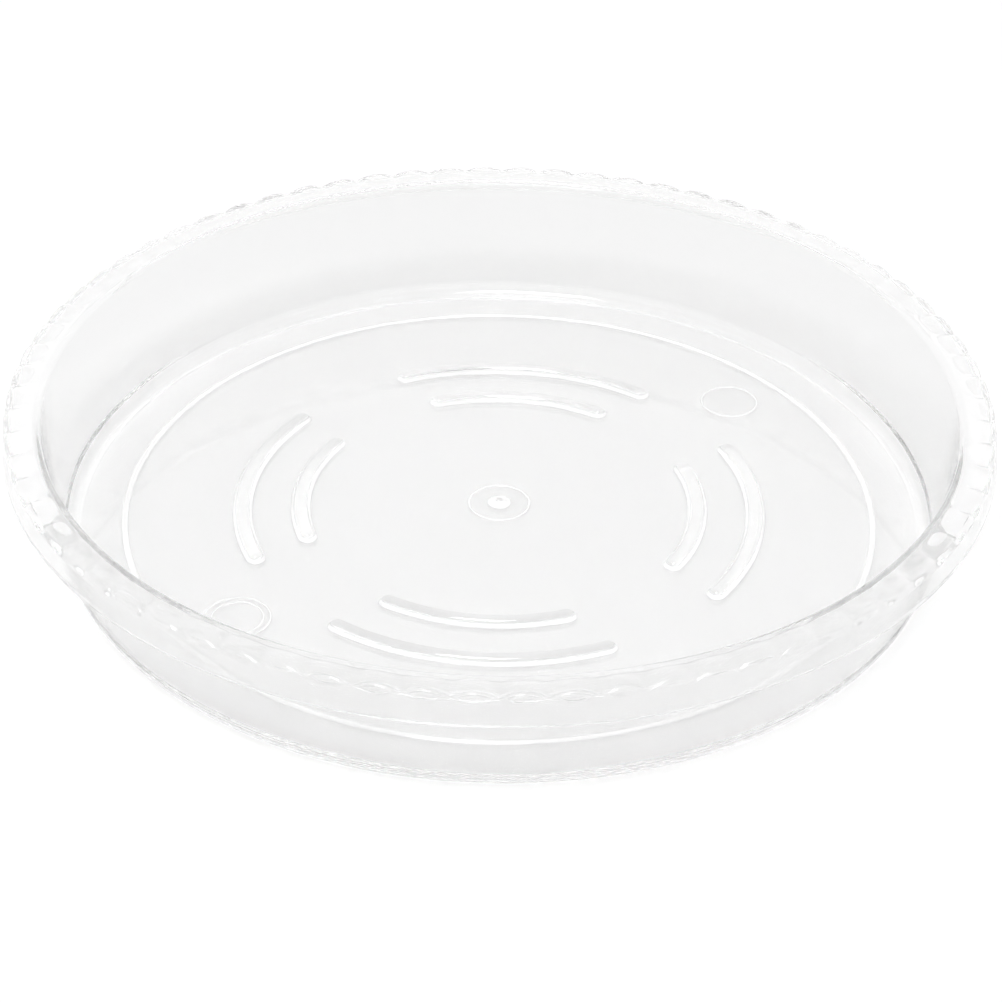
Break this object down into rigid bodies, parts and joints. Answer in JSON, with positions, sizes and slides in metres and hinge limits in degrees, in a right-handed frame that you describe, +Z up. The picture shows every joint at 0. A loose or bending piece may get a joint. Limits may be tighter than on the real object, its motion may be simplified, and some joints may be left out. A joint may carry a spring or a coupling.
{
  "type": "plant saucer",
  "caption": "Clear round plant saucer with a flared wall, a scalloped rim with a turned-down skirt and curved ribs that lift the pot.",
  "frame": {"origin": "centre of the flat foot, on the surface that the saucer stands on", "axes": "+Z up, out of the open top; the curved ribs are centred on +X, +Y, -X and -Y"},
  "size_m": [0.2598, 0.2598, 0.038],
  "materials": {
    "clear_plastic": "clear moulded plastic with a faint haze"
  },
  "bodies": {
    "root": {"floor_disc": "clear_plastic", "foot_corner": "clear_plastic", "side_wall": "clear_plastic", "rim_lip": "clear_plastic", "rim_skirt": "clear_plastic", "floor_ring": "clear_plastic", "centre_ring": "clear_plastic", "gate_bump": "clear_plastic", "single_round_mark": "clear_plastic", "double_round_mark": "clear_plastic", "outer_rib_right": "clear_plastic", "outer_rib_back": "clear_plastic", "outer_rib_left": "clear_plastic", "outer_rib_front": "clear_plastic", "inner_rib_right": "clear_plastic", "inner_rib_back": "clear_plastic", "inner_rib_left": "clear_plastic", "inner_rib_front": "clear_plastic"}
  },
  "joints": []
}
